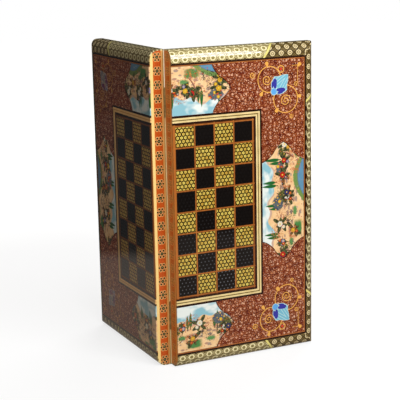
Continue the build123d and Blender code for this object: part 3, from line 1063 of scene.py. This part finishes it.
# Plain woods inside
woodLooks = {
    # dark and light of the grain
    "rail_beech": (srgb(168, 104, 58), srgb(206, 148, 92)),
    "base_ply": (srgb(150, 104, 62), srgb(196, 150, 100)),
    "rim_rosewood": (srgb(96, 46, 24), srgb(150, 84, 44)),
    "lining_walnut": (srgb(84, 44, 24), srgb(136, 82, 48)),
    "floor_walnut": (srgb(120, 66, 34), srgb(176, 112, 62)),
    # near-white, so that the lip reads as the highlight on the rim edge
    "lip_maple_highlight": (srgb(246, 214, 160), srgb(255, 240, 204)),
}


def woodFinish(name):
    dark, light = woodLooks[name]
    finish = Finish(name)
    u, w, v, left = finish.tray()
    grain = fibre(finish, v, u + left * 90.0, w)
    pores = finish.noise((v * 0.05, u * 3.0, w * 3.0), 1.0, 3.0, 0.7)
    colour = finish.layered(dark, (grain.steeper(2.6, 0.8), light),
                            (pores.steeper(3.0, 1.8) * 0.5, dark))
    return finish.lacquered(colour, 0.45, height=pores, strength=0.1)


pointLook = {
    "darkStar": srgb(28, 22, 18),
    "darkGap": srgb(96, 40, 20),
    "lightStar": srgb(230, 208, 150),
    "lightGap": srgb(120, 82, 30),
    "pitch": 6.4,
    "starSize": 1.7,
    "eyeSize": 0.7,
}


def pointFinish(shade):
    look = pointLook
    finish = Finish(shade + "_point", pointLook)
    u, _, v, _ = finish.tray()
    x, y = hexCell(u, v, look["pitch"])
    points = star(x, y).below(look["starSize"]) - distance(x, y).below(look["eyeSize"])
    colour = finish.mixed(points.clamped(), shade + "Gap", shade + "Star")
    return finish.lacquered(colour)


# Brass
brassLook = {
    # bright, tarnished, roughness
    "hinge": (srgb(220, 188, 124), srgb(166, 138, 86), 0.5),
    "screw": (srgb(176, 142, 74), srgb(96, 76, 40), 0.36),
    "clasp": (srgb(188, 152, 78), srgb(108, 84, 42), 0.3),
}


def brassFinish(kind):
    bright, dull, rough = brassLook[kind]
    finish = Finish(kind + "_brass")
    place = finish.place()
    patina = finish.noise(place, 160.0, 4.0, 0.65).steeper(2.6, 0.8)
    scratches = finish.noise(place, 900.0, 2.0, 0.6)
    colour = finish.mixed(patina, bright, dull)
    return finish.principled({"Base Color": colour, "Metallic": 1.0 - patina * 0.35,
                              "Roughness": rough + patina * 0.2 + (scratches - 0.5) * 0.1,
                              "Normal": finish.bump(scratches, 0.2, 0.0002)})


# Dress the pieces: each finish goes to the pieces whose name holds its key
finishes = {
    "rail": woodFinish("rail_beech"),
    "base_panel": woodFinish("base_ply"),
    "rim_banding": woodFinish("rim_rosewood"),
    "wall_lining": woodFinish("lining_walnut"),
    "inner_floor": woodFinish("floor_walnut"),
    "border_top": endBorderFinish(),
    "border_front": sideBorderFinish(),
    "spine_edging": spineEdgingFinish(),
    "spine_star_strip": spineStarFinish(),
    "dark_squares": darkSquareFinish(),
    "light_squares": lightSquareFinish(),
    "square_lattice": lineFinish(),
    "chess_frame": frameFinish(),
    "border_lines": borderLineFinish(),
    "field_veneer": fieldFinish(),
    "painted_panels": gardenFinish(),
    "dark_points": pointFinish("dark"),
    "light_points": pointFinish("light"),
    "hinge": brassFinish("hinge"),
    "screws": brassFinish("screw"),
    "clasp": brassFinish("clasp"),
}
finishes["border_bottom"] = finishes["border_top"]


def finishOf(name):
    # longest key that the piece's name holds
    for key in sorted(finishes, key=len, reverse=True):
        if key in name:
            return finishes[key]
    return finishes["clasp"]


for name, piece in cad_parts.items():
    if not piece.data.materials:
        piece.data.materials.append(finishOf(name))
    for slot in piece.material_slots:
        slot.material = finishOf(name)
print("finishes assigned")


def newPiece(name, shape, material):
    mesh = bpy.data.meshes.new(name)
    shape.to_mesh(mesh)
    shape.free()
    mesh.materials.append(material)
    piece = bpy.data.objects.new(name, mesh)
    bpy.context.scene.collection.objects.link(piece)
    return piece


# Lip along the hinge side of the right rim, below each hinge: a pale bead whose near-white colour
# stands in for the highlight on the rim edge
lipLook = {
    "radius": 0.0002,
    "segments": 12,
    "setback": 0.0004,          # from the ends and from the hinges
}


def makeLip():
    look = lipLook
    lower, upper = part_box("lower_hinge_pin"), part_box("upper_hinge_pin")
    x, y = (lower[0].x + lower[1].x) / 2, (lower[0].y + lower[1].y) / 2
    shape = bmesh.new()
    for start, end in ((cadBox[0][2], lower[0].z), (lower[1].z, upper[0].z)):
        place = Matrix.Translation((x, y, (start + end) / 2))
        bmesh.ops.create_cone(shape, cap_ends=True, segments=look["segments"],
                              radius1=look["radius"], radius2=look["radius"],
                              depth=end - start - 2 * look["setback"], matrix=place)
    lip = newPiece("rim_lip", shape, woodFinish("lip_maple_highlight"))
    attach(lip, "right_tray")


makeLip()
print("rim lip made")

# Camera, at the photograph's viewing angle
cameraLook = {
    "place": (-0.8628, -1.7825, 0.6650),
    "yaw": 25.741,
    "pitch": -12.305,
    "roll": -1.149,
    "lens": 108.89,
    "sensor": 36.0,
}
cameraData = bpy.data.cameras.new("camera")
cameraData.lens = cameraLook["lens"]
cameraData.sensor_width = cameraLook["sensor"]
cameraData.sensor_fit = "HORIZONTAL"
camera = bpy.data.objects.new("camera", cameraData)
bpy.context.scene.collection.objects.link(camera)
aim = Euler((math.radians(90 + cameraLook["pitch"]), 0.0, math.radians(-cameraLook["yaw"])))
turn = aim.to_matrix() @ Matrix.Rotation(math.radians(cameraLook["roll"]), 3, "Z")
camera.matrix_world = Matrix.Translation(cameraLook["place"]) @ turn.to_4x4()
bpy.context.scene.camera = camera

# Floor, surroundings and lights
black, white = (0.0, 0.0, 0.0, 1.0), (1.0, 1.0, 1.0, 1.0)
studioLook = {
    "floorSize": 12.0,
    "floorColour": srgb(168, 158, 146),
    # the floor that the camera sees takes little of the lamps' light, and glows
    "seenShade": (0.25, 0.25, 0.25, 1.0),
    "seenGlow": 0.78,
    "farGlow": 1.0,
    "farFrom": 0.7,
    "farTo": 1.6,
    "table": (0.06, -0.14, 0.81),           # middle and radius of the mirrored table
    "tableEdge": 0.08,
    "tableGlow": (0.22, 0.19, 0.165),
    "tableFront": 0.6,          # share of that glow before the right tray
    "backGlow": 0.05,           # mirrored floor behind the left tray
    "ambient": 0.12,
    "ambientColour": (1.0, 0.88, 0.74, 1.0),
    "keyDistance": 1.6,
    "keyHeading": 5.0,          # degrees from the front towards the right
    "keyHeight": 1.46,
    "keySize": (1.76, 1.55),
    "keyPower": 54.0,
    "caseTop": (0.0, -0.13, 0.49),
    "caseMiddle": (0.0, 0.0, 0.25),
    "backPlace": (1.5, 1.7, 1.5),
    "backSize": (1.6, 1.6),
    "backPower": 40.0,
    "screenSides": 64,
    "screenRadius": 2.7,
    "screenHeight": 3.4,
    "screenShade": 0.01,
    "screenGlow": 0.045,        # added on the side behind the left tray
}


def makeFloor():
    # white to the camera with the case's soft shadow; a grey table to all other light
    look = studioLook
    shape = bmesh.new()
    bmesh.ops.create_grid(shape, x_segments=1, y_segments=1, size=look["floorSize"] / 2)
    finish = Finish("pale_floor", studioLook)
    seen, mirrored, through = finish.rays()
    seen = greater(seen, through)
    x, y, _ = finish.split(finish.place())
    far = ((distance(x, y) - look["farFrom"]) / (look["farTo"] - look["farFrom"])).clamped()
    cx, cy, radius = look["table"]
    table = distance(x - cx, y - cy).below(radius, look["tableEdge"])
    behind = (1.0 - table) * ((y - x) * 0.6).clamped() * look["backGlow"] * mirrored
    table = table * ((y > x) * (1.0 - look["tableFront"]) + look["tableFront"]) * mirrored
    glow = (far * (look["farGlow"] - look["seenGlow"]) + look["seenGlow"]) * seen + behind
    glow = finish.point(*(table * part + glow for part in look["tableGlow"]))
    base = finish.mixed(seen, "floorColour", "seenShade")
    base = finish.mixed(mirrored, base, black)
    newPiece("floor", shape, finish.glowing(base, 0.9, glow))


def makeScreen():
    # dark walls and ceiling of the studio, which only reflections see
    look = studioLook
    height, radius = look["screenHeight"], look["screenRadius"]
    shape = bmesh.new()
    bmesh.ops.create_cone(shape, cap_ends=True, segments=look["screenSides"],
                          radius1=radius, radius2=radius, depth=height)
    floorFaces = [face for face in shape.faces if all(v.co.z < 0.0 for v in face.verts)]
    bmesh.ops.delete(shape, geom=floorFaces, context="FACES")
    bmesh.ops.translate(shape, verts=shape.verts, vec=(0, 0, height / 2 - 0.01))
    finish = Finish("screen_cloth")
    x, y, _ = finish.split(finish.place())
    glow = ((y - x) / 6.0).clamped() * look["screenGlow"] + look["screenShade"]
    screen = newPiece("screen", shape, finish.glowing(black, 1.0, finish.point(glow, glow, glow)))
    for kind in ("camera", "diffuse", "shadow", "transmission"):
        setattr(screen, "visible_" + kind, False)


def makeSoftbox(name, place, aimAt, size, power):
    data = bpy.data.lights.new(name, "AREA")
    data.shape = "RECTANGLE"
    data.size, data.size_y = size
    data.energy = power
    lamp = bpy.data.objects.new(name, data)
    bpy.context.scene.collection.objects.link(lamp)
    heading = Vector(aimAt) - Vector(place)
    turn = heading.to_track_quat("-Z", "Y").to_matrix().to_4x4()
    lamp.matrix_world = Matrix.Translation(place) @ turn
    return lamp


def makeWorld():
    # white to the camera and in reflections, a soft warm light on everything else
    look = studioLook
    world = bpy.data.worlds.new("studio")
    bpy.context.scene.world = world
    finish = Finish("studio", studioLook, world)
    seen, mirrored, through = finish.rays()
    seen = greater(greater(seen, mirrored), through)
    colour = finish.mixed(seen, "ambientColour", white)
    strength = seen * (1.0 - look["ambient"]) + look["ambient"]
    background = finish.node("Background", None, {"Color": colour, "Strength": strength})
    finish.close(background, "OutputWorld")


makeFloor()
makeScreen()
makeWorld()
caseTop = Vector(studioLook["caseTop"])
keyTurn = math.radians(studioLook["keyHeading"])
keyPlace = Vector((math.sin(keyTurn), -math.cos(keyTurn), 0.0)) * studioLook["keyDistance"]
keyPlace += Vector((caseTop.x, caseTop.y, studioLook["keyHeight"]))
makeSoftbox("key", keyPlace, caseTop, studioLook["keySize"], studioLook["keyPower"])
back = makeSoftbox("back", studioLook["backPlace"], studioLook["caseMiddle"],
                   studioLook["backSize"], studioLook["backPower"])
back.visible_glossy = False
bpy.context.scene.view_settings.view_transform = "Standard"
print("studio ready")
